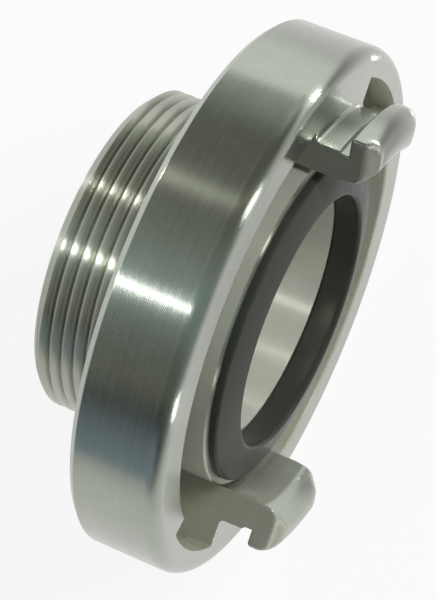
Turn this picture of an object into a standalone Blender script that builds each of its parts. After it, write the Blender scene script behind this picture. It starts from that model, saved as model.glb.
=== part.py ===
"""Two-claw hose coupling on a male-threaded stub, in metres with +Z up.

The axis lies along Y. The claws face -Y, the thread points to +Y, and the origin is on the axis at the
rear face of the claw ring. Outlines are (radius, station) pairs: a station is a distance along the axis
from that rear face towards the claws. Clock angles run clockwise from the top, seen from the claws.
"""

import math

import bmesh
import bpy

# Shared clearances and facets
RUNNING_GAP = 0.0003  # between pieces that turn on, or seat in, each other
ROUND_STEPS = 96  # facets round a turned piece
ARC_STEPS = 5  # facets in a fillet
CUT_MARGIN = 0.003  # how far a cutter runs past what it cuts
JOIN_DEPTH = 0.0007  # how deep a joined shape is sunk into its carrier

# Threaded stub
THREAD_DIAMETER = 0.0596  # over the crests of a two-inch pipe thread
THREAD_LENGTH = 0.018  # behind the claw ring
THREAD_CHAMFER = 0.0017
STUB_WALL = 0.0061  # from the crests to the bore
BORE_CHAMFER = 0.0005
COLLAR_LIP = 0.0019  # the collar that carries the ring stands this far over the journal
COLLAR_SETBACK = 0.0002  # its rim lies this far behind the flange face
COLLAR_CHAMFER = 0.0003

# Seal and its seat in the collar's front
SEAT_WALL = 0.0013
SEAT_DEPTH = 0.0027
SEAT_DOVETAIL = 0.0003  # the seat widens towards its floor, which keeps the rubber in
SEAL_STAND = 0.0015  # the seal's outer edge in front of the collar's rim
SEAL_LIP_RISE = 0.0013  # from that edge up to the lip
SEAL_LIP_REACH = 0.0004  # the lip stands into the bore
SEAL_LIP_RADIUS = 0.0007

# Retaining wire behind the ring, and slip ring in front of its back wall
WIRE_DIAMETER = 0.0018
WIRE_STAND = 0.00105  # the wire stands this far over the journal
WIRE_OPENING = 0.008  # between the ends of the split wire
WIRE_SIDES = 10
SLIP_RING_THICKNESS = 0.0012

# Claw ring
JOURNAL_LAND = 0.0019  # back wall in front of the wire's counterbore
FLANGE_THICKNESS = 0.0047  # where a mating claw enters
RAMP_RISE = 0.0008  # the flange thickens by this much, so that turning draws the halves together
RIM_WALL = 0.0043  # outside the channel's undercut
UNDERCUT_STEP = 0.0007  # the channel is wider than the pockets
UNDERCUT_FILLET = 0.001
RING_REAR_CHAMFER = 0.0012
RING_FRONT_FILLET = 0.0026
FLANGE_EDGE_CHAMFER = 0.0003

# Claws and entry pockets
CLAW_COUNT = 2
CLAW_CLOCK = 46.0  # where the first claw starts, in degrees
CLAW_ARC = 31.5
POCKET_ARC = 33.0  # follows each claw clockwise
CLAW_CLEARANCE = 0.0013  # from the collar to the claws' inner faces
CLAW_NECK = 0.0058
NECK_CLEARANCE = 0.0018  # from a mating claw's neck to the flange's inner edge
CLAW_HOOK = 0.0031  # the head stands this far out of the neck
HOOK_CLEARANCE = 0.0021  # from a mating claw's head to the pocket's wall
GRIP_CLEARANCE = 0.0005  # from the head's underside to the thick end of the ramp
CLAW_HEAD = 0.0053  # from the head's underside to its tip
HEAD_ROUND = (0.0045, 0.0035)  # outer front edge of the head: inwards, and back from the tip
HEAD_CORNER = 0.0006
TIP_FALL = 0.0037  # the head's nose curves back from its tip to the inner edge
NOSE_POWER = 2.1  # of that curve: 1 is a straight slope, 2 a parabola
NOSE_STEPS = 4
TIP_CLEARANCE = 0.0013  # from a mating claw's tip to the channel's floor
FOOT_FILLET = 0.0008
RELIEF_WIDTH = 0.0013  # groove under the head
RELIEF_DEPTH = 0.0005
FOOT_PROUD = 0.00002  # the foot stands this much over the flange face
START_BEVEL = (0.0022, 0.0025)  # front edge where a claw starts: along the claw, and back from the tip
POCKET_BEVEL = (0.0035, 0.0015)  # the same at its end over the pocket
HOOK_END_ROUND = (0.0042, 0.001)  # the hook's end over the pocket: along the claw, and inwards
CLAW_STEPS = 8
POCKET_EXTRA_DEPTH = 0.0003  # milled a little deeper than the turned channel

# Radii, worked out from the thread to the rim
journal_r = THREAD_DIAMETER / 2
bore_r = journal_r - STUB_WALL
collar_r = journal_r + COLLAR_LIP
seat_r = collar_r - SEAT_WALL
ring_bore_r = journal_r + RUNNING_GAP
claw_inner_r = collar_r + CLAW_CLEARANCE
neck_r = claw_inner_r + CLAW_NECK
flange_r = neck_r + NECK_CLEARANCE
hook_r = neck_r + CLAW_HOOK
pocket_r = hook_r + HOOK_CLEARANCE
undercut_r = pocket_r + UNDERCUT_STEP
rim_r = undercut_r + RIM_WALL
wire_r = WIRE_DIAMETER / 2
wire_centre_r = journal_r + WIRE_STAND - wire_r
counterbore_r = journal_r + WIRE_STAND + RUNNING_GAP

# Stations, worked out from the rear face to the claws' tips
counterbore_floor = WIRE_DIAMETER + 2 * RUNNING_GAP
wire_station = counterbore_floor - RUNNING_GAP - wire_r
channel_floor = counterbore_floor + JOURNAL_LAND
slip_rear = channel_floor + RUNNING_GAP
collar_rear = slip_rear + SLIP_RING_THICKNESS + RUNNING_GAP
hook_height = FLANGE_THICKNESS + RAMP_RISE + GRIP_CLEARANCE
claw_reach = hook_height + CLAW_HEAD
flange_face = channel_floor + claw_reach + TIP_CLEARANCE
collar_rim = flange_face - COLLAR_SETBACK
seat_floor = collar_rim - SEAT_DEPTH
claw_tip = flange_face + claw_reach
sector_arc = 360.0 / CLAW_COUNT


def clear_scene():
    for obj in list(bpy.data.objects):
        bpy.data.objects.remove(obj, do_unlink=True)


def finish_material(name, colour, metallic, roughness):
    material = bpy.data.materials.new(name)
    material.use_nodes = True
    shader = material.node_tree.nodes["Principled BSDF"]
    shader.inputs["Base Color"].default_value = (*colour, 1.0)
    shader.inputs["Metallic"].default_value = metallic
    shader.inputs["Roughness"].default_value = roughness
    return material


def arc(centre, radii, start, end, steps=ARC_STEPS):
    """Points on an elliptical arc in an outline; angles in degrees, 0 outwards and 90 to the front."""
    points = []
    for step in range(steps + 1):
        angle = math.radians(start + (end - start) * step / steps)
        points.append((centre[0] + radii[0] * math.cos(angle), centre[1] + radii[1] * math.sin(angle)))
    return points


def at_clock(point, clock):
    """An outline's point turned to a clock angle, in the axis frame: x right, y up, z to the claws."""
    angle = math.radians(clock)
    return point[0] * math.sin(angle), point[0] * math.cos(angle), point[1]


def swept(name, outline_at, clocks, parent, closed):
    """An object swept through outline_at(clock) at each clock angle, as a whole turn or with end caps."""
    mesh = bpy.data.meshes.new(name)
    bm = bmesh.new()
    loops = [[bm.verts.new(at_clock(p, clock)) for p in outline_at(clock)] for clock in clocks]
    for here, there in zip(loops, loops[1:] + loops[:1] if closed else loops[1:]):
        for k in range(len(here)):
            bm.faces.new((here[k - 1], here[k], there[k], there[k - 1]))
    if not closed:
        bm.faces.new(loops[0])
        bm.faces.new(loops[-1])
    bmesh.ops.recalc_face_normals(bm, faces=bm.faces)
    bm.to_mesh(mesh)
    bm.free()
    mesh.shade_smooth()
    mesh.set_sharp_from_angle(angle=math.radians(30))
    obj = bpy.data.objects.new(name, mesh)
    obj.parent = parent
    bpy.context.scene.collection.objects.link(obj)
    return obj


def turned(name, outline, parent):
    clocks = [360.0 * step / ROUND_STEPS for step in range(ROUND_STEPS)]
    return swept(name, lambda clock: outline, clocks, parent, closed=True)


def spread(start, arc_length, steps):
    return [start + arc_length * step / steps for step in range(steps + 1)]


def combine(target, helper, operation):
    """A live Boolean with a helper that stays out of the finished part."""
    helper.hide_render = True
    helper.display_type = "WIRE"
    modifier = target.modifiers.new(helper.name, "BOOLEAN")
    modifier.operation = operation
    modifier.object = helper


def axis_empty(name, parent=None):
    empty = bpy.data.objects.new(name, None)
    empty.parent = parent
    bpy.context.scene.collection.objects.link(empty)
    return empty


def stub_outline():
    groove_floor = wire_centre_r - wire_r - RUNNING_GAP
    return [
        (bore_r + BORE_CHAMFER, -THREAD_LENGTH),
        (journal_r - THREAD_CHAMFER, -THREAD_LENGTH),
        (journal_r, -THREAD_LENGTH + THREAD_CHAMFER),
        (journal_r, wire_station - wire_r - RUNNING_GAP),
        (groove_floor, wire_station - wire_r - RUNNING_GAP),
        (groove_floor, wire_station + wire_r + RUNNING_GAP),
        (journal_r, wire_station + wire_r + RUNNING_GAP),
        (journal_r, collar_rear),
        (collar_r, collar_rear),
        (collar_r, collar_rim - COLLAR_CHAMFER),
        (collar_r - COLLAR_CHAMFER, collar_rim),
        (seat_r, collar_rim),
        (seat_r + SEAT_DOVETAIL, seat_floor),
        (bore_r, seat_floor),
        (bore_r, -THREAD_LENGTH + BORE_CHAMFER),
    ]


def seal_outline():
    outer = seat_r - RUNNING_GAP
    back = seat_floor + RUNNING_GAP
    edge = collar_rim + SEAL_STAND
    lip = edge + SEAL_LIP_RISE
    inner = bore_r - SEAL_LIP_REACH
    lip_centre = (inner + SEAL_LIP_RADIUS, lip - SEAL_LIP_RADIUS)
    cone = math.degrees(math.atan2(SEAL_LIP_RISE, outer - lip_centre[0]))
    return [
        (outer + SEAT_DOVETAIL, back),
        (outer, collar_rim),
        (outer, edge),
        *arc(lip_centre, (SEAL_LIP_RADIUS, SEAL_LIP_RADIUS), 90 - cone, 180),
        (bore_r, back),
    ]


def slip_ring_outline():
    outer = collar_r - RUNNING_GAP
    front = slip_rear + SLIP_RING_THICKNESS
    return [(ring_bore_r, slip_rear), (outer, slip_rear), (outer, front), (ring_bore_r, front)]


def wire_outline():
    turn = 360 - 360 / WIRE_SIDES
    return arc((wire_centre_r, wire_station), (wire_r, wire_r), 0, turn, WIRE_SIDES - 1)


def flange_thickness(clock):
    """The flange thickens clockwise from the pocket's far edge to the next claw."""
    past_pocket = (clock - CLAW_CLOCK) % sector_arc - CLAW_ARC - POCKET_ARC
    share = past_pocket / (sector_arc - CLAW_ARC - POCKET_ARC)
    return FLANGE_THICKNESS + RAMP_RISE * max(0.0, share)


def ring_outline(clock):
    underside = flange_face - flange_thickness(clock)
    fillet = (RING_FRONT_FILLET, RING_FRONT_FILLET)
    corner = (UNDERCUT_FILLET, UNDERCUT_FILLET)
    return [
        (ring_bore_r, counterbore_floor),
        (ring_bore_r, channel_floor),
        *arc((undercut_r - UNDERCUT_FILLET, channel_floor + UNDERCUT_FILLET), corner, -90, 0, 3),
        (undercut_r, underside),
        (flange_r, underside),
        (flange_r, flange_face - FLANGE_EDGE_CHAMFER),
        (flange_r + FLANGE_EDGE_CHAMFER, flange_face),
        *arc((rim_r - RING_FRONT_FILLET, flange_face - RING_FRONT_FILLET), fillet, 90, 0),
        (rim_r, RING_REAR_CHAMFER),
        (rim_r - RING_REAR_CHAMFER, 0),
        (counterbore_r, 0),
        (counterbore_r, counterbore_floor),
    ]


def claw_outline(head_r, front_limit):
    """The claw from its sunk root to a head of radius head_r; nothing stands in front of front_limit."""
    hook = flange_face + hook_height
    top_r = head_r - HEAD_ROUND[0]
    nose_run = [1.0 - step / NOSE_STEPS for step in range(NOSE_STEPS)]
    corner = (HEAD_CORNER, HEAD_CORNER)
    foot = flange_face + FOOT_PROUD
    foot_r = flange_r + 2 * JOIN_DEPTH
    sunk_r = undercut_r + JOIN_DEPTH
    outline = [
        (claw_inner_r, channel_floor - JOIN_DEPTH),
        *[(top_r - (top_r - claw_inner_r) * left, claw_tip - TIP_FALL * left**NOSE_POWER) for left in nose_run],
        *arc((top_r, claw_tip - HEAD_ROUND[1]), HEAD_ROUND, 90, 0, 8),
        *arc((head_r - HEAD_CORNER, hook + HEAD_CORNER), corner, 0, -90, 3),
        (neck_r - RELIEF_DEPTH, hook),
        (neck_r - RELIEF_DEPTH, hook - RELIEF_WIDTH),
        (neck_r, hook - RELIEF_WIDTH - RELIEF_DEPTH),
        *arc((neck_r + FOOT_FILLET, foot + FOOT_FILLET), (FOOT_FILLET, FOOT_FILLET), 180, 270),
        (foot_r, foot),
        (foot_r, flange_face - JOIN_DEPTH),
        (sunk_r, flange_face - JOIN_DEPTH),
        (sunk_r, channel_floor - JOIN_DEPTH),
    ]
    return [(r, min(station, front_limit)) for r, station in outline]


def claw_front_limit(from_start, from_pocket):
    """Station of the claw's front, which is bevelled at both ends."""
    start_drop = START_BEVEL[1] * max(0.0, 1.0 - from_start / START_BEVEL[0])
    pocket_drop = POCKET_BEVEL[1] * max(0.0, 1.0 - from_pocket / POCKET_BEVEL[0])
    return claw_tip - max(start_drop, pocket_drop)


def head_radius(from_pocket):
    short = 1.0 - min(1.0, max(0.0, from_pocket / HOOK_END_ROUND[0]))
    return hook_r - HOOK_END_ROUND[1] * (1.0 - math.sqrt(1.0 - short**2))


def claw_clocks(start):
    """Clock angles along a claw, close together at its rounded ends; it runs on into the pocket's cut."""
    first_arc = math.degrees(START_BEVEL[0] / neck_r)
    last_arc = math.degrees(HOOK_END_ROUND[0] / neck_r)
    end = start + CLAW_ARC
    first = [start, start + first_arc / 2]
    last = [end - last_arc * share for share in (0.83, 0.5, 0.25, 0.1, 0.0)]
    middle = spread(start + first_arc, CLAW_ARC - first_arc - last_arc, CLAW_STEPS)
    return first + middle + last + [end + math.degrees(CUT_MARGIN / neck_r)]


def add_claw(ring, index, parent):
    start = CLAW_CLOCK + sector_arc * index

    def outline_at(clock):
        from_start = neck_r * math.radians(clock - start)
        from_pocket = neck_r * math.radians(start + CLAW_ARC - clock)
        return claw_outline(head_radius(from_pocket), claw_front_limit(from_start, from_pocket))

    claw = swept(f"claw_{index + 1}", outline_at, claw_clocks(start), parent, closed=False)
    combine(ring, claw, "UNION")


def cut_pocket(ring, index, parent):
    inner = claw_inner_r - CUT_MARGIN
    floor = channel_floor - POCKET_EXTRA_DEPTH
    front = claw_tip + CUT_MARGIN
    outline = [(inner, floor), (pocket_r, floor), (pocket_r, front), (inner, front)]
    clocks = spread(CLAW_CLOCK + CLAW_ARC + sector_arc * index, POCKET_ARC, CLAW_STEPS)
    pocket = swept(f"pocket_{index + 1}", lambda clock: outline, clocks, parent, closed=False)
    combine(ring, pocket, "DIFFERENCE")


def build_claw_ring(parent):
    clocks = [360.0 * step / ROUND_STEPS for step in range(ROUND_STEPS)]
    ring = swept("claw_ring", ring_outline, clocks, parent, closed=True)
    for index in range(CLAW_COUNT):
        add_claw(ring, index, parent)
    for index in range(CLAW_COUNT):
        cut_pocket(ring, index, parent)
    return ring


def build_retaining_wire(parent):
    opening = math.degrees(WIRE_OPENING / wire_centre_r)
    clocks = spread(180 + opening / 2, 360 - opening, 72)
    return swept("retaining_wire", lambda clock: wire_outline(), clocks, parent, closed=False)


def main():
    clear_scene()
    stub_aluminium = finish_material("stub_aluminium", (0.62, 0.64, 0.60), 1.0, 0.3)
    ring_aluminium = finish_material("ring_aluminium", (0.62, 0.64, 0.60), 1.0, 0.22)
    steel = finish_material("spring_steel", (0.45, 0.45, 0.46), 1.0, 0.3)
    rubber = finish_material("black_rubber", (0.025, 0.026, 0.026), 0.0, 0.55)
    acetal = finish_material("natural_acetal", (0.80, 0.79, 0.74), 0.0, 0.45)

    axis = axis_empty("coupling_axis")
    axis.rotation_euler = (math.radians(90), 0, 0)
    swivel = axis_empty("claw_ring_swivel", axis)

    finished = {
        turned("threaded_stub", stub_outline(), axis): stub_aluminium,
        turned("seal_ring", seal_outline(), axis): rubber,
        turned("slip_ring", slip_ring_outline(), axis): acetal,
        build_retaining_wire(axis): steel,
        build_claw_ring(swivel): ring_aluminium,
    }
    for obj, material in finished.items():
        obj.data.materials.append(material)


main()
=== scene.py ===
import math

import bmesh
import bpy
from mathutils import Matrix, Quaternion, Vector


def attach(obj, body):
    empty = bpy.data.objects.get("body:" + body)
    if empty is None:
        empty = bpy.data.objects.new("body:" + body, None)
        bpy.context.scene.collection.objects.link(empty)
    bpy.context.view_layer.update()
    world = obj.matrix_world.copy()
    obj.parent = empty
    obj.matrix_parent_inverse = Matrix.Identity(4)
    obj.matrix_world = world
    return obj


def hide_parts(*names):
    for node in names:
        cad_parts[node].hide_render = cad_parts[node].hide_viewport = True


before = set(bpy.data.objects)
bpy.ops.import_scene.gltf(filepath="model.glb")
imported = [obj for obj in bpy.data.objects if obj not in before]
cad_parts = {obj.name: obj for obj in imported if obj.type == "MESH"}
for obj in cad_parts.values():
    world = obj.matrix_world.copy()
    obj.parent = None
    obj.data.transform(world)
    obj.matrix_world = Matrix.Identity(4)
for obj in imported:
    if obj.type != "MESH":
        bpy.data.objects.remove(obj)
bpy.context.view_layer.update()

mm = 0.001
scene = bpy.context.scene
scene.view_settings.view_transform = "Standard"


# camera: looks down on the ring, which stands on its rim

cameraView = {
    "place": (-0.001959, -0.128071, 0.425744),
    "right": (0.3764, -0.88937, -0.25953),
    "down": (-0.92646, -0.36133, -0.10544),
    "forward": (0.0, 0.28013, -0.95996),
    "focalPixels": 2529.56,
    "imageHeight": 600,
    "sensorHeight": 36.0,
    "clip": (0.01, 50.0),
}


def makeCamera(view):
    data = bpy.data.cameras.new("photoCamera")
    data.sensor_fit = "VERTICAL"
    data.sensor_height = view["sensorHeight"]
    data.lens = view["focalPixels"] / view["imageHeight"] * view["sensorHeight"]
    data.clip_start, data.clip_end = view["clip"]
    camera = bpy.data.objects.new("photoCamera", data)
    scene.collection.objects.link(camera)
    axes = Matrix((Vector(view["right"]), -Vector(view["down"]), -Vector(view["forward"])))
    camera.matrix_world = Matrix.Translation(view["place"]) @ axes.transposed().to_4x4()
    scene.camera = camera


makeCamera(cameraView)
print("stage: camera")


# outlines are lists of (radius, station) in mm; the station runs from the ring's rear face to the claws


def arcPoints(centre, radii, start, stop, steps):
    points = []
    for i in range(steps + 1):
        angle = math.radians(start + (stop - start) * i / steps)
        points.append((centre[0] + radii[0] * math.cos(angle), centre[1] + radii[1] * math.sin(angle)))
    return points


def spacedPoints(first, last, steps):
    return [
        (first[0] + (last[0] - first[0]) * i / steps, first[1] + (last[1] - first[1]) * i / steps)
        for i in range(1, steps)
    ]


def placeOnClock(point, clock):
    radius, station = point
    angle = math.radians(clock)  # clockwise from the top, seen from the claws
    return Vector((radius * math.sin(angle), -station, radius * math.cos(angle))) * mm


def meshFrom(shape, name, smooth=True):
    mesh = bpy.data.meshes.new(name)
    shape.to_mesh(mesh)
    shape.free()
    mesh.polygons.foreach_set("use_smooth", [smooth] * len(mesh.polygons))
    return mesh


def weldPoints(shape):
    bmesh.ops.remove_doubles(shape, verts=shape.verts, dist=1e-7)


def latheMesh(name, outline, steps):
    shape = bmesh.new()
    loops = []
    for i in range(steps):
        loops.append([shape.verts.new(placeOnClock(p, 360.0 * i / steps)) for p in outline])
    count = len(outline)
    for i in range(steps):
        here, there = loops[i], loops[(i + 1) % steps]
        for k in range(count):
            nextK = (k + 1) % count
            shape.faces.new((here[k], here[nextK], there[nextK], there[k]))
    weldPoints(shape)
    bmesh.ops.recalc_face_normals(shape, faces=shape.faces)
    return meshFrom(shape, name)


def linkPiece(name, mesh):
    piece = bpy.data.objects.new(name, mesh)
    scene.collection.objects.link(piece)
    return piece


def plainMesh(piece):
    scene.view_layers[0].update()
    graph = bpy.context.evaluated_depsgraph_get()
    mesh = bpy.data.meshes.new_from_object(piece.evaluated_get(graph), depsgraph=graph)
    piece.modifiers.clear()
    old = piece.data
    mesh.name = piece.name
    piece.data = mesh
    bpy.data.meshes.remove(old)
    return mesh


def faceOutwards(mesh):
    shell = bmesh.new()
    shell.from_mesh(mesh)
    bmesh.ops.recalc_face_normals(shell, faces=shell.faces)
    shell.to_mesh(mesh)
    shell.free()


def faceOnClock(face):
    x, y, z = face.center / mm
    radius = math.hypot(x, z)
    outward = (face.normal.x * x + face.normal.z * z) / radius
    around = (face.normal.x * z - face.normal.z * x) / radius  # how far it faces clockwise
    return radius, -y, outward, around


def markDull(mesh, rule):
    dull = mesh.attributes.new("dull", "FLOAT", "FACE")  # 0 turned bright, 1 matt, 2 matt and darkened by painted shade
    for face in mesh.polygons:
        dull.data[face.index].value = rule(*faceOnClock(face))


def softEdges(piece, width, segments, angle, share):
    shell = bmesh.new()
    shell.from_mesh(piece.data)
    weight = shell.edges.layers.float.new("bevel_weight_edge")
    for edge in shell.edges:
        if len(edge.link_faces) == 2 and edge.calc_face_angle() > math.radians(angle):
            x, y, z = (edge.verts[0].co + edge.verts[1].co) / 2 / mm
            edge[weight] = share(math.hypot(x, z), -y)
    shell.to_mesh(piece.data)
    shell.free()
    piece.data.polygons.foreach_set("material_index", [0] * len(piece.data.polygons))
    bevel = piece.modifiers.new("brokenEdges", "BEVEL")
    bevel.width = width * mm
    bevel.segments = segments
    bevel.limit_method = "WEIGHT"
    bevel.use_clamp_overlap = True
    bevel.material = 1  # marks the new faces until brightEdges has seen them
    weighted = piece.modifiers.new("flatFaces", "WEIGHTED_NORMAL")
    weighted.mode = "FACE_AREA"
    weighted.weight = 50


def brightEdges(mesh, material, lowest, leastOutward, mostAround):
    dull = mesh.attributes["dull"].data
    for face in mesh.polygons:
        if face.material_index == 1:
            radius, station, outward, around = faceOnClock(face)
            if outward > leastOutward and around < mostAround and station > lowest:
                dull[face.index].value = 0.0  # handling rubs the leading edges bright
            face.material_index = 0
    mesh.materials.clear()
    mesh.materials.append(material)


# node helpers


def addNode(tree, kind, **settings):
    node = tree.nodes.new(kind)
    for key, value in settings.items():
        setattr(node, key, value)
    return node


def feed(tree, socket, value):
    if isinstance(value, bpy.types.NodeSocket):
        tree.links.new(value, socket)
    else:
        socket.default_value = value


def calc(tree, operation, first, second=None, third=None, clamp=False):
    node = addNode(tree, "ShaderNodeMath", operation=operation, use_clamp=clamp)
    for socket, value in zip(node.inputs, (first, second, third)):
        if value is not None:
            feed(tree, socket, value)
    return node.outputs[0]


def remap(tree, value, fromMin, fromMax, toMin, toMax, smooth=False):
    node = addNode(tree, "ShaderNodeMapRange", interpolation_type="SMOOTHSTEP" if smooth else "LINEAR")
    for name, item in zip(("Value", "From Min", "From Max", "To Min", "To Max"),
                          (value, fromMin, fromMax, toMin, toMax)):
        feed(tree, node.inputs[name], item)
    return node.outputs["Result"]


def sumOfSquares(tree, first, second):
    return calc(tree, "MULTIPLY_ADD", first, first, calc(tree, "MULTIPLY", second, second))


def bell(tree, squared):
    return calc(tree, "EXPONENT", calc(tree, "MULTIPLY", squared, -1.0))


def startTree(name, sizes):
    tree = bpy.data.node_groups.new(name, "GeometryNodeTree")
    tree.is_modifier = True
    tree.interface.new_socket("Geometry", in_out="INPUT", socket_type="NodeSocketGeometry")
    tree.interface.new_socket("Geometry", in_out="OUTPUT", socket_type="NodeSocketGeometry")
    for label, kind in sizes:
        tree.interface.new_socket(label, in_out="INPUT", socket_type=kind)
    return tree, tree.nodes.new("NodeGroupInput"), tree.nodes.new("NodeGroupOutput")


def endTree(tree, geometry, given, result):
    realize = tree.nodes.new("GeometryNodeRealizeInstances")
    dress = tree.nodes.new("GeometryNodeSetMaterial")
    tree.links.new(geometry, realize.inputs["Geometry"])
    tree.links.new(realize.outputs["Geometry"], dress.inputs["Geometry"])
    tree.links.new(given.outputs["Material"], dress.inputs["Material"])
    tree.links.new(dress.outputs["Geometry"], result.inputs["Geometry"])


def runTree(piece, tree, values):
    modifier = piece.modifiers.new(tree.name, "NODES")
    modifier.node_group = tree
    for item in tree.interface.items_tree:
        if item.item_type == "SOCKET" and item.in_out == "INPUT" and item.name in values:
            modifier[item.identifier] = values[item.name]


# materials


def emptyMaterial(name):
    material = bpy.data.materials.new(name)
    material.use_nodes = True
    material.node_tree.nodes.clear()
    return material, material.node_tree


def startMaterial(name):
    material, tree = emptyMaterial(name)
    shader = tree.nodes.new("ShaderNodeBsdfPrincipled")
    output = tree.nodes.new("ShaderNodeOutputMaterial")
    tree.links.new(shader.outputs["BSDF"], output.inputs["Surface"])
    place = tree.nodes.new("ShaderNodeTexCoord").outputs["Object"]
    return material, tree, shader, place


def noise(tree, vector, scale, detail=2.0, rough=0.5):
    node = tree.nodes.new("ShaderNodeTexNoise")
    feed(tree, node.inputs["Vector"], vector)
    node.inputs["Scale"].default_value = scale
    node.inputs["Detail"].default_value = detail
    node.inputs["Roughness"].default_value = rough
    return node.outputs["Fac"]


def blendColours(tree, amount, first, second):
    node = addNode(tree, "ShaderNodeMix", data_type="RGBA")
    feed(tree, node.inputs[0], amount)
    feed(tree, node.inputs[6], first)
    feed(tree, node.inputs[7], second)
    return node.outputs[2]


def turnedPlace(tree, place):
    parts = tree.nodes.new("ShaderNodeSeparateXYZ")
    tree.links.new(place, parts.inputs[0])
    radius = calc(tree, "SQRT", sumOfSquares(tree, parts.outputs["X"], parts.outputs["Z"]))
    turned = tree.nodes.new("ShaderNodeCombineXYZ")
    tree.links.new(radius, turned.inputs["X"])
    tree.links.new(parts.outputs["Y"], turned.inputs["Y"])
    across = calc(tree, "ADD", radius, parts.outputs["Y"])
    return turned.outputs[0], across  # the same all round the axis, so marks run round as from a lathe


turnedMarks = {  # shares of the patterns in tone, gloss and height
    "lineWander": 9.0,
    "stainTone": 0.45,
    "markTone": 0.55,
    "lineTone": 0.06,
    "toneRange": (0.3, 0.7),
    "grainRange": (0.35, 0.65),
    "markGloss": 0.75,
    "stainGloss": 0.25,
    "mattSpread": 0.06,
    "lineHeight": 1.0,
    "markHeight": 0.3,
    "grainHeight": 0.4,
    "glossTurn": 0.25,  # a quarter turn: the gloss spreads across the marks
}


def turnedAluminium(name, look, share):
    material, tree, shader, place = startMaterial(name)
    turned, across = turnedPlace(tree, place)
    grade = addNode(tree, "ShaderNodeAttribute", attribute_name="dull").outputs["Fac"]
    dull = calc(tree, "MINIMUM", grade, 1.0)
    milled = calc(tree, "SUBTRACT", grade, 1.0, clamp=True)
    bright = calc(tree, "SUBTRACT", 1.0, dull)
    fine = noise(tree, turned, look["markScale"], 2.0, 0.6)
    broad = noise(tree, turned, look["bandScale"], 2.0, 0.5)
    stain = noise(tree, place, look["stainScale"], 4.0, 0.6)
    grain = noise(tree, place, look["grainScale"], 4.0, 0.65)
    lines = calc(tree, "SINE", calc(tree, "MULTIPLY_ADD", across, 2.0 * math.pi / (look["linePitch"] * mm),
                                    calc(tree, "MULTIPLY", broad, share["lineWander"])))
    tone = calc(tree, "MULTIPLY_ADD", stain, share["stainTone"],
                calc(tree, "MULTIPLY", fine, share["markTone"]))
    tone = calc(tree, "MULTIPLY_ADD", lines, share["lineTone"], tone)
    turnedColour = blendColours(tree, remap(tree, tone, *share["toneRange"], 0.0, 1.0),
                                look["dim"], look["bright"])
    mattColour = blendColours(tree, remap(tree, grain, *share["grainRange"], 0.0, 1.0),
                              look["mattDim"], look["mattBright"])
    # grades above 1 blend the matt colour towards painted shade
    mattColour = blendColours(tree, milled, mattColour, look["milled"])
    tree.links.new(blendColours(tree, dull, turnedColour, mattColour), shader.inputs["Base Color"])
    tree.links.new(remap(tree, dull, 0.0, 1.0, 1.0, look["mattMetal"]), shader.inputs["Metallic"])
    shader.inputs["Anisotropic"].default_value = look["anisotropy"]
    shader.inputs["Anisotropic Rotation"].default_value = share["glossTurn"]
    tangent = addNode(tree, "ShaderNodeTangent", direction_type="RADIAL", axis="Y")
    tree.links.new(tangent.outputs[0], shader.inputs["Tangent"])
    wander = calc(tree, "ADD", calc(tree, "MULTIPLY", fine, share["markGloss"]),
                  calc(tree, "MULTIPLY", stain, share["stainGloss"]))
    gloss = remap(tree, wander, *share["toneRange"], look["smooth"], look["rough"])
    matt = remap(tree, grain, *share["toneRange"],
                 look["mattRough"] - share["mattSpread"], look["mattRough"] + share["mattSpread"])
    roughness = calc(tree, "ADD", calc(tree, "MULTIPLY", gloss, bright), calc(tree, "MULTIPLY", matt, dull))
    tree.links.new(roughness, shader.inputs["Roughness"])
    marks = calc(tree, "MULTIPLY_ADD", lines, share["lineHeight"],
                 calc(tree, "MULTIPLY", fine, share["markHeight"]))
    pits = calc(tree, "MULTIPLY", grain, share["grainHeight"])
    height = calc(tree, "ADD", calc(tree, "MULTIPLY", marks, bright), calc(tree, "MULTIPLY", pits, dull))
    bump = tree.nodes.new("ShaderNodeBump")
    bump.inputs["Strength"].default_value = look["markStrength"]
    bump.inputs["Distance"].default_value = look["markDepth"] * mm
    tree.links.new(height, bump.inputs["Height"])
    tree.links.new(bump.outputs["Normal"], shader.inputs["Normal"])
    return material


# claw ring: one claw, its pocket and the plain flange after it make a sector, repeated round the axis

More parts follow.
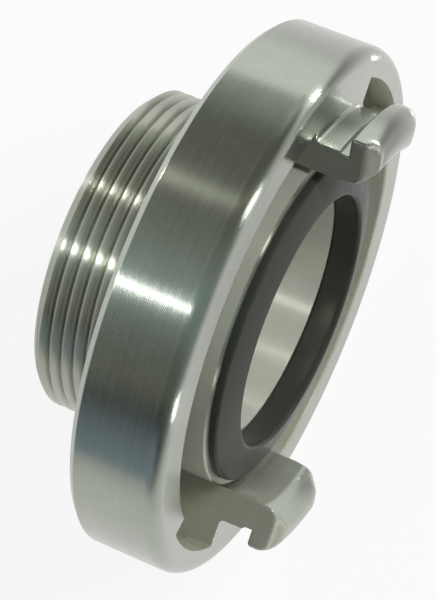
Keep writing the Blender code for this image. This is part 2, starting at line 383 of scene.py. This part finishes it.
ringDesign = {
    # sizes in mm, arcs in degrees
    "sectors": 2,
    "bore": 30.1,
    "counterbore": (31.15, 2.4),
    "channelFloor": 4.3,
    "undercut": 44.7,
    "undercutFillet": 1.0,
    "flangeInner": 40.6,
    "flangeEdge": 0.3,
    "flangeFace": 16.9,
    "flangeThin": 4.7,
    "flangeRise": 0.8,
    "rim": 49.0,
    "frontFillet": 2.6,
    "rearChamfer": 1.2,
    "pocketWall": 44.0,
    "clawClock": 46.0,
    "clawArc": 31.5,
    "pocketArc": 33.0,
    "clawInner": 33.0,
    "neck": 38.8,
    "hook": 41.9,
    "hookUnder": 22.9,
    "clawTip": 28.2,
    "tipFall": 3.7,
    "nosePower": 2.1,
    "noseSteps": 10,
    "lipRound": 0.45,
    "lipShoulder": (0.3, 0.1),  # shares of the lip's rounding
    "crownSoftness": 1.0,
    "headRound": (4.5, 3.5),
    "headCorner": 0.6,
    "relief": (1.3, 0.5),
    "footFillet": 0.8,
    "startBevel": (2.2, 2.3, 0.9),  # length, depth and how softly it ends
    "pocketBevel": (3.3, 1.4, 0.8),
    "hookEndRound": (4.2, 1.0),
    "clawStep": 0.9,
    "ringStep": 1.5,
    "filletSteps": 8,
    "cornerSteps": 4,
    "footSteps": 5,
    "headSteps": 12,
    "clawEdge": 0.5,
    "ringEdge": 0.14,
    "reliefShare": 0.4,
    "edgeSegments": 4,
    "edgeAngle": 34,
    "rubbedEdge": (0.15, 0.05),  # least outward and most clockwise facing of an edge rubbed bright
    # finish, with grades of dullness from 0 to 2; above 1 the colour darkens with painted shade
    "bright": (0.518, 0.549, 0.48, 1.0),
    "dim": (0.455, 0.486, 0.423, 1.0),
    "mattBright": (0.60, 0.617, 0.505, 1.0),
    "mattDim": (0.52, 0.535, 0.432, 1.0),
    # the colour of painted shade, for grades above 1
    "milled": (0.27, 0.274, 0.228, 1.0),
    "mattMetal": 0.5,
    "mattRough": 0.46,
    "smooth": 0.17,
    "rough": 0.215,
    "anisotropy": 0.93,
    "linePitch": 0.32,
    "markScale": 5200.0,
    "bandScale": 900.0,
    "stainScale": 220.0,
    "grainScale": 900.0,
    "markStrength": 0.2,
    "markDepth": 0.02,
    "endFacing": 0.95,
    "sideFacing": 0.45,
    "insideFacing": -0.9,
    # grades above 1 add painted shade to the claws' ends and bevels
    "startEnd": 2.0,
    "pocketEnd": 1.4,
    "startBevelDull": 1.9,
    "pocketBevelDull": 1.5,
    "bevelGrade": (0.12, 5.0),  # the facing where a bevel starts to dull and darken with painted shade, and how fast
    "pocketSide": 1.0,
    "clawInside": 0.25,
    "channel": 1.0,
    "rearFace": 0.1,
}


def ringBack(s):
    fillet = s["frontFillet"]
    centre = (s["rim"] - fillet, s["flangeFace"] - fillet)
    points = arcPoints(centre, (fillet, fillet), 90, 0, s["filletSteps"])
    points += [(s["rim"], s["rearChamfer"]), (s["rim"] - s["rearChamfer"], 0.0)]
    points += [(s["counterbore"][0], 0.0), s["counterbore"], (s["bore"], s["counterbore"][1])]
    return points + [(s["bore"], s["channelFloor"])]


def channelCorner(s):
    fillet = s["undercutFillet"]
    centre = (s["undercut"] - fillet, s["channelFloor"] + fillet)
    return arcPoints(centre, (fillet, fillet), -90, 0, s["cornerSteps"])


def plainFront(s, thickness):
    under = s["flangeFace"] - thickness
    points = [(s["clawInner"], s["channelFloor"])] + channelCorner(s)
    points += [(s["undercut"], under), (s["pocketWall"], under), (s["flangeInner"], under)]
    points += [(s["flangeInner"], s["flangeFace"] - s["flangeEdge"])]
    points += [(s["flangeInner"] + s["flangeEdge"], s["flangeFace"])]
    return points + [(s["pocketWall"], s["flangeFace"])]


def pocketFront(s):
    under = s["flangeFace"] - s["flangeThin"]
    points = [(s["clawInner"], s["channelFloor"])] + channelCorner(s)
    return points + [(s["undercut"], under), (s["pocketWall"], under), (s["pocketWall"], s["flangeFace"])]


def easedDrop(along, length, depth, soft):
    inside = length - along
    return depth / length * (inside + math.sqrt(inside * inside + soft * soft)) / 2


def cutBelow(station, limit, soft):
    return (station + limit - math.sqrt((station - limit) ** 2 + soft * soft)) / 2


def clawFront(s, fromStart, fromPocket):
    drop = easedDrop(fromStart, *s["startBevel"]) + easedDrop(fromPocket, *s["pocketBevel"])
    short = 1.0 - min(1.0, max(0.0, fromPocket / s["hookEndRound"][0]))
    head = s["hook"] - s["hookEndRound"][1] * (1.0 - math.sqrt(max(0.0, 1.0 - short * short)))
    roundR, roundS = s["headRound"]
    corner, foot = s["headCorner"], s["footFillet"]
    width, depth = s["relief"]
    top, tip = head - roundR, s["clawTip"]
    inner, lip = s["clawInner"], s["lipRound"]
    slope = s["tipFall"] * s["nosePower"] / (top - inner)
    last = 1.0 - lip / (top - inner)
    shoulderR, shoulderS = s["lipShoulder"]
    crown = [(inner, tip - s["tipFall"] - lip * slope)]
    crown += [(inner + lip * shoulderR, tip - s["tipFall"] - lip * shoulderS)]
    for i in range(s["noseSteps"] + 1):
        left = last * (1.0 - i / s["noseSteps"])
        crown.append((top - (top - inner) * left, tip - s["tipFall"] * left ** s["nosePower"]))
    crown += arcPoints((top, tip - roundS), (roundR, roundS), 90, 0, s["headSteps"])[1:]
    soft = min(drop, s["crownSoftness"])
    points = [(inner, s["channelFloor"])] + [(r, cutBelow(at, tip - drop, soft)) for r, at in crown]
    points += arcPoints((head - corner, s["hookUnder"] + corner), (corner, corner), 0, -90, s["cornerSteps"])
    points += [(s["neck"] - depth, s["hookUnder"]), (s["neck"] - depth, s["hookUnder"] - width)]
    points += [(s["neck"], s["hookUnder"] - width - depth)]
    points += arcPoints((s["neck"] + foot, s["flangeFace"] + foot), (foot, foot), 180, 270, s["footSteps"])
    points += [(s["flangeInner"] + s["flangeEdge"], s["flangeFace"])]
    return points + [(s["pocketWall"], s["flangeFace"])]


def ringSector(s):
    start = s["clawClock"]
    clawEnd = start + s["clawArc"]
    pocketEnd = clawEnd + s["pocketArc"]
    sectorEnd = start + 360.0 / s["sectors"]
    perDegree = math.radians(1.0) * s["neck"]  # arc length in mm at the neck
    back = ringBack(s)

    def clawAt(clock):
        return clawFront(s, (clock - start) * perDegree, (clawEnd - clock) * perDegree)

    def plainAt(clock):
        share = (clock - pocketEnd) / (sectorEnd - pocketEnd)
        return plainFront(s, s["flangeThin"] + s["flangeRise"] * share)

    def clocksBetween(stops, step):
        clocks = [stops[0]]
        for first, last in zip(stops, stops[1:]):
            count = max(1, round((last - first) / step))
            clocks += [first + (last - first) * i / count for i in range(1, count + 1)]
        return clocks

    shape = bmesh.new()

    def sweep(clocks, frontAt):
        loops = []
        for clock in clocks:
            outline = frontAt(clock) + back
            loops.append([shape.verts.new(placeOnClock(p, clock)) for p in outline])
        for here, there in zip(loops, loops[1:]):
            for k in range(len(here)):
                nextK = (k + 1) % len(here)
                shape.faces.new((here[k], here[nextK], there[nextK], there[k]))

    def cap(clock, outline):
        shape.faces.new([shape.verts.new(placeOnClock(p, clock)) for p in outline])

    sweep(clocksBetween((start, clawEnd), s["clawStep"]), clawAt)
    sweep(clocksBetween((clawEnd, pocketEnd), s["ringStep"]), lambda clock: pocketFront(s))
    sweep(clocksBetween((pocketEnd, sectorEnd), s["ringStep"]), plainAt)
    cap(start, clawAt(start)[:-1] + plainAt(sectorEnd)[1:-2][::-1])
    cap(clawEnd, clawAt(clawEnd) + pocketFront(s)[1:-1][::-1])
    plain = plainAt(pocketEnd)
    cap(pocketEnd, plain[plain.index((s["pocketWall"], s["flangeFace"] - s["flangeThin"])):])
    weldPoints(shape)
    return meshFrom(shape, "ringSector")  # open at its ends, so it is faced outwards once it is closed


def sectorsRoundAxis():
    sizes = [("Sector count", "NodeSocketInt"), ("Merge distance", "NodeSocketFloat"),
             ("Material", "NodeSocketMaterial")]
    tree, given, result = startTree("sectorsRoundAxis", sizes)
    line = tree.nodes.new("GeometryNodeMeshLine")
    tree.links.new(given.outputs["Sector count"], line.inputs["Count"])
    line.inputs["Offset"].default_value = (0.0, 0.0, 0.0)
    step = calc(tree, "DIVIDE", 2.0 * math.pi, given.outputs["Sector count"])
    turn = tree.nodes.new("ShaderNodeCombineXYZ")
    number = tree.nodes.new("GeometryNodeInputIndex").outputs[0]
    tree.links.new(calc(tree, "MULTIPLY", number, step), turn.inputs["Y"])
    spread = tree.nodes.new("GeometryNodeInstanceOnPoints")
    tree.links.new(line.outputs["Mesh"], spread.inputs["Points"])
    tree.links.new(given.outputs["Geometry"], spread.inputs["Instance"])
    tree.links.new(turn.outputs[0], spread.inputs["Rotation"])
    realize = tree.nodes.new("GeometryNodeRealizeInstances")
    tree.links.new(spread.outputs["Instances"], realize.inputs["Geometry"])
    weld = tree.nodes.new("GeometryNodeMergeByDistance")
    tree.links.new(realize.outputs["Geometry"], weld.inputs["Geometry"])
    tree.links.new(given.outputs["Merge distance"], weld.inputs["Distance"])
    endTree(tree, weld.outputs["Geometry"], given, result)
    return tree


ringMaterial = turnedAluminium("brightTurnedAluminium", ringDesign, turnedMarks)
clawRing = linkPiece("clawRing", ringSector(ringDesign))
runTree(clawRing, sectorsRoundAxis(),
        {"Sector count": ringDesign["sectors"], "Merge distance": 1e-6, "Material": ringMaterial})
ringMesh = plainMesh(clawRing)
faceOutwards(ringMesh)


def ringDull(radius, station, outward, around):
    s = ringDesign
    if abs(around) > s["endFacing"] and radius < s["hook"]:  # the claws' ends, milled matt and darkened with painted shade
        return s["startEnd"] if around < 0.0 else s["pocketEnd"]
    first, rate = s["bevelGrade"]
    if station > s["flangeFace"] and abs(around) > first:
        most = s["pocketBevelDull"] if around > 0.0 else s["startBevelDull"]
        return min(most, rate * (abs(around) - first))
    if abs(around) > s["sideFacing"]:
        return s["pocketSide"]
    # tenths of a mm keep each rule clear of the next face
    if outward < s["insideFacing"] and s["bore"] + 1.0 < radius < s["clawInner"] + 0.2:
        return s["clawInside"]
    if station < s["flangeFace"] - 0.1 and s["bore"] + 0.1 < radius < s["undercut"] + 0.05:
        return s["channel"] if station > 0.1 else s["rearFace"]
    return 0.0


def ringEdgeShare(radius, station):
    s = ringDesign
    if station < s["flangeFace"] + 0.4:
        return s["ringEdge"] / s["clawEdge"]
    if s["clawInner"] + 1.0 < radius < s["neck"] + 0.2 and station < s["hookUnder"] + 0.2:
        return s["reliefShare"]
    return 1.0


markDull(ringMesh, ringDull)
ringMesh.materials.clear()
for slot in range(2):  # the second slot marks the faces that the bevel adds
    ringMesh.materials.append(ringMaterial)
softEdges(clawRing, ringDesign["clawEdge"], ringDesign["edgeSegments"], ringDesign["edgeAngle"],
          ringEdgeShare)
brightEdges(plainMesh(clawRing), ringMaterial, ringDesign["flangeFace"] - ringDesign["flangeEdge"],
            *ringDesign["rubbedEdge"])
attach(clawRing, "ring")
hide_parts("claw_ring")
print("stage: claw ring", len(clawRing.data.polygons), "faces")


# threaded stub: turned body, with the helix cut into it by a rule

stubDesign = {
    # sizes in mm
    "steps": 216,
    "bore": 23.7,
    "boreChamfer": 0.5,
    "journal": 29.8,
    "threadEnd": -18.0,
    "threadChamfer": 1.7,
    "threadPitch": 2.309,
    "threadDepth": 0.8,
    "threadPhase": 2.2106,
    "runOut": (1.9, 3.4),
    "crestPower": 3.4,
    "threadRows": 26,
    "wireStation": 1.2,
    "wireRadius": 0.9,
    "wireCentre": 29.95,
    "wireGap": 0.3,
    "collarRear": 6.1,
    "collar": 31.7,
    "collarRim": 16.7,
    "collarChamfer": 0.3,
    "seat": 30.4,
    "seatFloor": 14.0,
    "seatDovetail": 0.3,
    "grooveSteps": 8,
    "sharpAngle": 32,
    # finish, with grades of dullness from 0 to 2; above 1 the colour darkens with painted shade
    "bright": (0.53, 0.55, 0.47, 1.0),
    "dim": (0.45, 0.465, 0.39, 1.0),
    "mattBright": (0.82, 0.84, 0.725, 1.0),
    "mattDim": (0.73, 0.75, 0.635, 1.0),
    # the colour of painted shade, for grades above 1
    "milled": (0.40, 0.41, 0.35, 1.0),
    "mattMetal": 0.35,
    "mattRough": 0.42,
    "smooth": 0.27,
    "rough": 0.31,
    "anisotropy": 1.0,
    "linePitch": 0.3,
    "markScale": 4200.0,
    "bandScale": 700.0,
    "stainScale": 110.0,
    "grainScale": 700.0,
    "markStrength": 0.04,
    "markDepth": 0.02,
    # grades above 1 add painted shade to the bore and the collar
    "mattBoreShade": 1.58,
    "collarShade": 1.7,
}


def stubOutline(s):
    end, chamfer, small = s["threadEnd"], s["threadChamfer"], s["boreChamfer"]
    reach = s["wireRadius"] + s["wireGap"]
    half = math.sqrt(reach ** 2 - (s["wireCentre"] - s["journal"]) ** 2)
    low = math.degrees(math.asin((s["wireCentre"] - s["journal"]) / reach))
    row = s["threadPitch"] / s["threadRows"]
    slope = (s["journal"], end + chamfer)
    tip = (s["journal"] - chamfer, end)
    rows = round((s["wireStation"] - half - slope[1]) / row)
    lastTurn = (s["journal"], s["wireStation"] - half)
    points = [(s["bore"], s["seatFloor"]), (s["bore"], end + small), (s["bore"] + small, end), tip]
    points += spacedPoints(tip, slope, round(chamfer * 1.4 / row)) + [slope]  # 1.4 as the chamfer slants
    points += spacedPoints(slope, lastTurn, rows) + [lastTurn]
    wire = (s["wireCentre"], s["wireStation"])
    points += arcPoints(wire, (reach, reach), 180 + low, 180 - low, s["grooveSteps"])[1:-1]
    points += [(s["journal"], s["wireStation"] + half), (s["journal"], s["collarRear"])]
    points += [(s["collar"] - s["collarChamfer"], s["collarRear"])]
    points += [(s["collar"], s["collarRear"] + s["collarChamfer"])]
    points += [(s["collar"], s["collarRim"] - s["collarChamfer"])]
    points += [(s["collar"] - s["collarChamfer"], s["collarRim"]), (s["seat"], s["collarRim"])]
    return points + [(s["seat"] + s["seatDovetail"], s["seatFloor"])]


def helixCut():
    sizes = [(label, "NodeSocketFloat") for label in
             ("Pitch", "Depth", "Crest power", "Crest radius", "Phase", "Run-out start", "Run-out end")]
    tree, given, result = startTree("helixCut", sizes + [("Material", "NodeSocketMaterial")])
    value = given.outputs
    parts = tree.nodes.new("ShaderNodeSeparateXYZ")
    tree.links.new(tree.nodes.new("GeometryNodeInputPosition").outputs[0], parts.inputs[0])
    x, y, z = parts.outputs
    radius = calc(tree, "SQRT", sumOfSquares(tree, x, z))
    turns = calc(tree, "DIVIDE", calc(tree, "ARCTAN2", x, z), 2.0 * math.pi)
    along = calc(tree, "DIVIDE", calc(tree, "SUBTRACT", y, value["Phase"]), value["Pitch"])
    share = calc(tree, "FRACT", calc(tree, "SUBTRACT", along, turns))
    nearest = calc(tree, "MINIMUM", share, calc(tree, "SUBTRACT", 1.0, share))
    fromCrest = calc(tree, "MULTIPLY", nearest, 2.0)
    profile = calc(tree, "MULTIPLY", calc(tree, "POWER", fromCrest, value["Crest power"]), value["Depth"])
    fade = remap(tree, y, value["Run-out start"], value["Run-out end"], 0.0, 1.0, smooth=True)
    cut = calc(tree, "MULTIPLY", profile, fade)
    newRadius = calc(tree, "MINIMUM", radius, calc(tree, "SUBTRACT", value["Crest radius"], cut))
    factor = calc(tree, "DIVIDE", newRadius, radius)
    moved = tree.nodes.new("ShaderNodeCombineXYZ")
    tree.links.new(calc(tree, "MULTIPLY", x, factor), moved.inputs["X"])
    tree.links.new(y, moved.inputs["Y"])
    tree.links.new(calc(tree, "MULTIPLY", z, factor), moved.inputs["Z"])
    place = tree.nodes.new("GeometryNodeSetPosition")
    tree.links.new(given.outputs["Geometry"], place.inputs["Geometry"])
    tree.links.new(calc(tree, "GREATER_THAN", y, value["Run-out start"]), place.inputs["Selection"])
    tree.links.new(moved.outputs[0], place.inputs["Position"])
    endTree(tree, place.outputs["Geometry"], given, result)
    return tree


stubMaterial = turnedAluminium("turnedAluminium", stubDesign, turnedMarks)
threadedStub = linkPiece("threadedStub",
                         latheMesh("threadedStub", stubOutline(stubDesign), stubDesign["steps"]))
runTree(threadedStub, helixCut(), {
    "Pitch": stubDesign["threadPitch"] * mm,
    "Depth": stubDesign["threadDepth"] * mm,
    "Crest power": stubDesign["crestPower"],
    "Crest radius": stubDesign["journal"] * mm,
    "Phase": stubDesign["threadPhase"] * mm,
    "Run-out start": stubDesign["runOut"][0] * mm,
    "Run-out end": stubDesign["runOut"][1] * mm,
    "Material": stubMaterial,
})


def stubDull(radius, station, outward, around):
    if radius < stubDesign["bore"] + 0.3:
        # the bore: matt, with painted shade
        return stubDesign["mattBoreShade"]
    if stubDesign["collarRear"] - 0.1 < station < stubDesign["collarRim"] - 0.2:
        return stubDesign["collarShade"]  # its side and the seal's seat, matt with painted shade
    return 0.0


stubMesh = plainMesh(threadedStub)
stubMesh.set_sharp_from_angle(angle=math.radians(stubDesign["sharpAngle"]))
markDull(stubMesh, stubDull)
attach(threadedStub, "stub")
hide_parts("threaded_stub")
print("stage: threaded stub", len(threadedStub.data.polygons), "faces")


# seal: moulded rubber with a lip, pressed into the collar's seat

sealDesign = {
    # sizes in mm
    "steps": 192,
    "outer": 30.36,
    "floor": 14.05,
    "dovetail": 0.25,
    "edge": 18.2,
    "edgeRound": 0.7,
    "lip": (23.3, 19.5),
    "lipRound": 0.7,
    "lipStep": (0.6, 1.4),
    "inner": 23.75,
    "footRound": 0.4,
    "edgeSteps": 5,
    "lipSteps": 9,
    "sharpAngle": 40,
    # finish
    "colour": (0.034, 0.0362, 0.0315, 1.0),
    "bloom": (0.041, 0.0445, 0.037, 1.0),
    "gloss": 0.175,
    "sheen": (0.90, 1.0, 0.68, 1.0),
    "smooth": 0.30,
    "rough": 0.42,
    "grainScale": 2600.0,
    "stainScale": 160.0,
    "dustRange": (0.42, 0.75),
    "stainRange": (0.3, 0.7),
    "grainStrength": 0.18,
    "grainDepth": 0.03,
}


def sealOutline(s):
    lipR, lipS = s["lip"]
    r = s["lipRound"]
    edge = s["edgeRound"]
    slope = math.atan2(lipS - s["edge"], s["outer"] - (lipR + r))
    up = math.degrees(slope)
    points = [(s["inner"], s["floor"] + s["footRound"]), (s["inner"] + s["footRound"], s["floor"])]
    points += [(s["outer"] + s["dovetail"], s["floor"])]
    points += arcPoints((s["outer"] - edge, s["edge"] - edge), (edge, edge), 0, 90 - up, s["edgeSteps"])
    points += arcPoints((lipR + r, lipS - r), (r, r), 90 - up, 180, s["lipSteps"])
    return points + [(lipR, lipS - r - s["lipStep"][0]), (s["inner"], lipS - r - s["lipStep"][1])]


def mouldedRubber(name, look):
    material, tree, shader, place = startMaterial(name)
    grain = noise(tree, place, look["grainScale"], 3.0, 0.6)
    stain = noise(tree, place, look["stainScale"], 4.0, 0.65)
    dusty = remap(tree, stain, *look["dustRange"], 0.0, 1.0)
    tree.links.new(blendColours(tree, dusty, look["colour"], look["bloom"]), shader.inputs["Base Color"])
    roughness = remap(tree, stain, *look["stainRange"], look["smooth"], look["rough"])
    tree.links.new(roughness, shader.inputs["Roughness"])
    shader.inputs["Specular IOR Level"].default_value = look["gloss"]
    shader.inputs["Specular Tint"].default_value = look["sheen"]
    bump = tree.nodes.new("ShaderNodeBump")
    bump.inputs["Strength"].default_value = look["grainStrength"]
    bump.inputs["Distance"].default_value = look["grainDepth"] * mm
    tree.links.new(grain, bump.inputs["Height"])
    tree.links.new(bump.outputs["Normal"], shader.inputs["Normal"])
    return material


sealRing = linkPiece("sealRing", latheMesh("sealRing", sealOutline(sealDesign), sealDesign["steps"]))
sealRing.data.materials.append(mouldedRubber("blackSealRubber", sealDesign))
sealRing.data.set_sharp_from_angle(angle=math.radians(sealDesign["sharpAngle"]))
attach(sealRing, "stub")
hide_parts("seal_ring")
print("stage: seal ring", len(sealRing.data.polygons), "faces")


# slip ring and retaining wire: the modelled solids stay, with finishes of their own

hiddenLooks = {
    "slip_ring": {
        "finish": "naturalAcetal",
        "colour": (0.80, 0.79, 0.74, 1.0),
        "other": (0.72, 0.70, 0.64, 1.0),
        "metal": 0.0,
        "smooth": 0.38,
        "rough": 0.5,
        "scale": 1400.0,
    },
    "retaining_wire": {
        "finish": "drawnSpringSteel",
        "colour": (0.47, 0.47, 0.48, 1.0),
        "other": (0.36, 0.36, 0.37, 1.0),
        "metal": 1.0,
        "smooth": 0.22,
        "rough": 0.36,
        "scale": 2200.0,
    },
}


def hiddenFinish(look):
    material, tree, shader, place = startMaterial(look["finish"])
    marks = noise(tree, turnedPlace(tree, place)[0], look["scale"], 3.0, 0.6)
    tree.links.new(blendColours(tree, marks, look["colour"], look["other"]), shader.inputs["Base Color"])
    shader.inputs["Metallic"].default_value = look["metal"]
    tree.links.new(remap(tree, marks, 0.3, 0.7, look["smooth"], look["rough"]), shader.inputs["Roughness"])
    return material


for node, look in hiddenLooks.items():
    hidden = bpy.data.objects[node]
    hidden.data.materials.clear()
    hidden.data.materials.append(hiddenFinish(look))
print("stage: slip ring and wire finishes")


# floor, world, painted reflection dome and lamps

stageLook = {
    "floorLevel": -0.0492,
    "floorSize": 14.0,
    "floorShade": 0.88,
    "floorGlow": 0.88,
    "floorSide": (  # painted light and shade on the floor as the metal sees it, from side to side
        (-1.5, 0.47), (-0.5, 0.64), (-0.14, 0.74), (0.02, 0.87), (0.25, 0.93), (0.6, 0.97), (1.5, 0.96),
    ),
    "floorFront": (-0.45, -0.08, 0.36, 1.0),  # painted shade, darker towards the camera
    "floorSlant": 0.55,
    "paintedFloorShadows": (  # painted shadows on the floor that the claws show: middle, reach and shade
        (0.135, -0.12, 0.055, 0.12, 0.8), (0.035, -0.070, 0.05, 0.016, 0.5),
    ),
    "worldLevel": 0.27,
    "tentRadius": 5.0,
    "tentSegments": (64, 32),
    "reflectionBase": (0.13, 0.134, 0.116),
    "reflectionPanels": (  # painted reflection bands: middle and width along X, then the light each adds or takes
        (-1.0, 0.13, (0.125, 0.18, 0.27)),
        (-0.84, 0.08, (-0.09, -0.09, -0.08)),
        (-0.17, 0.26, (0.11, 0.17, 0.20)),
        (0.10, 0.25, (0.06, 0.065, 0.06)),
        (0.53, 0.05, (0.13, 0.135, 0.09)),
        (1.0, 0.075, (0.38, 0.42, 0.40)),
    ),
    "reflectionRear": (0.42, 0.7, 0.0, 0.55),  # painted reflection, lighter behind the object
}

# the roll lays a long lamp along the axis; a lamp for glints doesn't fill, and a soft fill draws no spot
lampSettings = (
    {"name": "highlightLamp", "towards": (-0.20, 0.28, 0.94), "distance": 1.3, "size": (1.0, 0.03),
     "roll": 52.7, "watts": 0.32},
    {"name": "threadLamp", "towards": (-0.18, 0.644, 0.744), "distance": 1.3, "size": (0.05, 0.05),
     "watts": 3.0, "fills": False},
    {"name": "secondLamp", "towards": (0.437, 0.75, 0.495), "distance": 1.3, "size": (0.03, 0.03),
     "watts": 2.0},
    {"name": "sideLamp", "towards": (0.82, -0.53, -0.10), "distance": 0.27, "size": (0.02, 0.02),
     "watts": 0.06},
    {"name": "frontLamp", "towards": (0.32, -0.88, 0.08), "distance": 0.35, "size": (0.04, 0.13),
     "watts": 0.08},
    {"name": "lowLamp", "towards": (-0.39, -0.90, -0.17), "distance": 0.22, "size": (0.015, 0.015),
     "watts": 0.02},
    {"name": "edgeLamp", "towards": (0.80, -0.378, -0.464), "distance": 0.0817, "size": (0.004, 0.004),
     "watts": 0.0005, "fills": False},
    {"name": "softLamp", "towards": (0.45, -0.55, 0.70), "distance": 1.5, "size": (0.6, 0.6),
     "watts": 15.0, "glints": False},
)


def makeFloor(look):
    shape = bmesh.new()
    bmesh.ops.create_grid(shape, x_segments=1, y_segments=1, size=look["floorSize"] / 2)
    bmesh.ops.translate(shape, verts=shape.verts, vec=(0, 0, look["floorLevel"]))
    floor = linkPiece("whiteFloor", meshFrom(shape, "whiteFloor", smooth=False))
    material, tree = emptyMaterial("whitePaper")
    paper = tree.nodes.new("ShaderNodeBsdfDiffuse")
    paper.inputs["Color"].default_value = (look["floorShade"],) * 3 + (1.0,)
    glow = tree.nodes.new("ShaderNodeEmission")
    path = tree.nodes.new("ShaderNodeLightPath")
    shine = calc(tree, "MAXIMUM", path.outputs["Is Glossy Ray"], path.outputs["Is Transmission Ray"])
    parts = tree.nodes.new("ShaderNodeSeparateXYZ")
    tree.links.new(tree.nodes.new("ShaderNodeTexCoord").outputs["Object"], parts.inputs[0])
    x, y = parts.outputs["X"], parts.outputs["Y"]
    ramp = tree.nodes.new("ShaderNodeValToRGB")
    stops = ramp.color_ramp.elements
    first, last = look["floorSide"][0][0], look["floorSide"][-1][0]
    for index, (across, level) in enumerate(look["floorSide"]):
        stop = stops[index] if index < 2 else stops.new(1.0)
        stop.position = (across - first) / (last - first)
        stop.color = (level, level, level, 1.0)
    tree.links.new(remap(tree, x, first, last, 0.0, 1.0), ramp.inputs[0])
    slanted = calc(tree, "MULTIPLY_ADD", calc(tree, "MAXIMUM", x, 0.0), look["floorSlant"], y)
    # painted light and shade for the floor's glow, which only glossy and transmission rays see
    paintedFloorShading = calc(tree, "MULTIPLY", ramp.outputs["Color"], remap(tree, slanted, *look["floorFront"]))
    # painted shadows darken the floor's glow as the metal sees it
    for shadowX, shadowY, reachX, reachY, shade in look["paintedFloorShadows"]:
        acrossShadow = calc(tree, "DIVIDE", calc(tree, "SUBTRACT", x, shadowX), reachX)
        alongShadow = calc(tree, "DIVIDE", calc(tree, "SUBTRACT", y, shadowY), reachY)
        paintedShadow = calc(tree, "MULTIPLY", bell(tree, sumOfSquares(tree, acrossShadow, alongShadow)), shade)
        paintedFloorShading = calc(tree, "MULTIPLY", paintedFloorShading, calc(tree, "SUBTRACT", 1.0, paintedShadow))
    onView = path.outputs["Is Camera Ray"]
    tree.links.new(calc(tree, "MAXIMUM", onView, paintedFloorShading), glow.inputs["Strength"])
    seen = calc(tree, "MAXIMUM", calc(tree, "MULTIPLY", onView, look["floorGlow"]), shine)
    mix = tree.nodes.new("ShaderNodeMixShader")
    tree.links.new(seen, mix.inputs[0])
    tree.links.new(paper.outputs[0], mix.inputs[1])
    tree.links.new(glow.outputs[0], mix.inputs[2])
    output = tree.nodes.new("ShaderNodeOutputMaterial")
    tree.links.new(mix.outputs[0], output.inputs["Surface"])
    floor.data.materials.append(material)


def makeWorld(look):
    world = bpy.data.worlds.new("whiteStudio")
    scene.world = world
    world.use_nodes = True
    tree = world.node_tree
    tree.nodes.clear()
    path = tree.nodes.new("ShaderNodeLightPath")
    shine = calc(tree, "MAXIMUM", path.outputs["Is Glossy Ray"], path.outputs["Is Transmission Ray"])
    seen = calc(tree, "MAXIMUM", path.outputs["Is Camera Ray"], shine)
    sky = tree.nodes.new("ShaderNodeBackground")
    sky.inputs["Color"].default_value = (1.0, 1.0, 1.0, 1.0)
    tree.links.new(remap(tree, seen, 0.0, 1.0, look["worldLevel"], 1.0), sky.inputs["Strength"])
    output = tree.nodes.new("ShaderNodeOutputWorld")
    tree.links.new(sky.outputs[0], output.inputs["Surface"])


# a glowing dome that is no lamp: a painted reflection that only glossy rays see
def makeReflectionDome(look):
    shape = bmesh.new()
    around, up = look["tentSegments"]
    bmesh.ops.create_uvsphere(shape, u_segments=around, v_segments=up, radius=look["tentRadius"])
    below = [v for v in shape.verts if v.co.z < -0.01]
    bmesh.ops.delete(shape, geom=below, context="VERTS")
    tent = linkPiece("reflectedTent", meshFrom(shape, "reflectedTent"))
    material, tree = emptyMaterial("tentCloth")
    direction = addNode(tree, "ShaderNodeVectorMath", operation="NORMALIZE")
    tree.links.new(tree.nodes.new("ShaderNodeTexCoord").outputs["Object"], direction.inputs[0])
    parts = tree.nodes.new("ShaderNodeSeparateXYZ")
    tree.links.new(direction.outputs[0], parts.inputs[0])
    x, y = parts.outputs["X"], parts.outputs["Y"]
    total = addNode(tree, "ShaderNodeVectorMath", operation="ADD")
    total.inputs[0].default_value = look["reflectionBase"]
    tree.links.new(remap(tree, y, *look["reflectionRear"], smooth=True), total.inputs[1])
    for middle, width, colour in look["reflectionPanels"]:
        away = calc(tree, "DIVIDE", calc(tree, "SUBTRACT", x, middle), width)
        share = bell(tree, calc(tree, "MULTIPLY", away, away))
        panel = addNode(tree, "ShaderNodeVectorMath", operation="MULTIPLY_ADD")
        panel.inputs[0].default_value = colour
        tree.links.new(share, panel.inputs[1])
        tree.links.new(total.outputs[0], panel.inputs[2])
        total = panel
    glow = tree.nodes.new("ShaderNodeEmission")
    tree.links.new(total.outputs[0], glow.inputs["Color"])
    output = tree.nodes.new("ShaderNodeOutputMaterial")
    tree.links.new(glow.outputs[0], output.inputs["Surface"])
    tent.data.materials.append(material)
    tent.visible_camera = False  # only reflections see the tent: it is a painted reflection
    tent.visible_diffuse = False
    tent.visible_transmission = False
    tent.visible_shadow = False


def makeLamp(settings):
    data = bpy.data.lights.new(settings["name"], "AREA")
    data.shape = "ELLIPSE"
    data.size, data.size_y = settings["size"]
    data.energy = settings["watts"]
    lamp = bpy.data.objects.new(settings["name"], data)
    scene.collection.objects.link(lamp)
    towards = Vector(settings["towards"]).normalized()
    lamp.location = towards * settings["distance"]
    roll = Quaternion((0.0, 0.0, 1.0), math.radians(settings.get("roll", 0.0)))
    lamp.rotation_euler = (towards.to_track_quat("Z", "Y") @ roll).to_euler()
    lamp.visible_glossy = settings.get("glints", True)
    lamp.visible_diffuse = settings.get("fills", True)
    lamp.visible_camera = False


makeFloor(stageLook)
makeWorld(stageLook)
makeReflectionDome(stageLook)
for settings in lampSettings:
    makeLamp(settings)
print("stage: floor, tent, world and lamps")
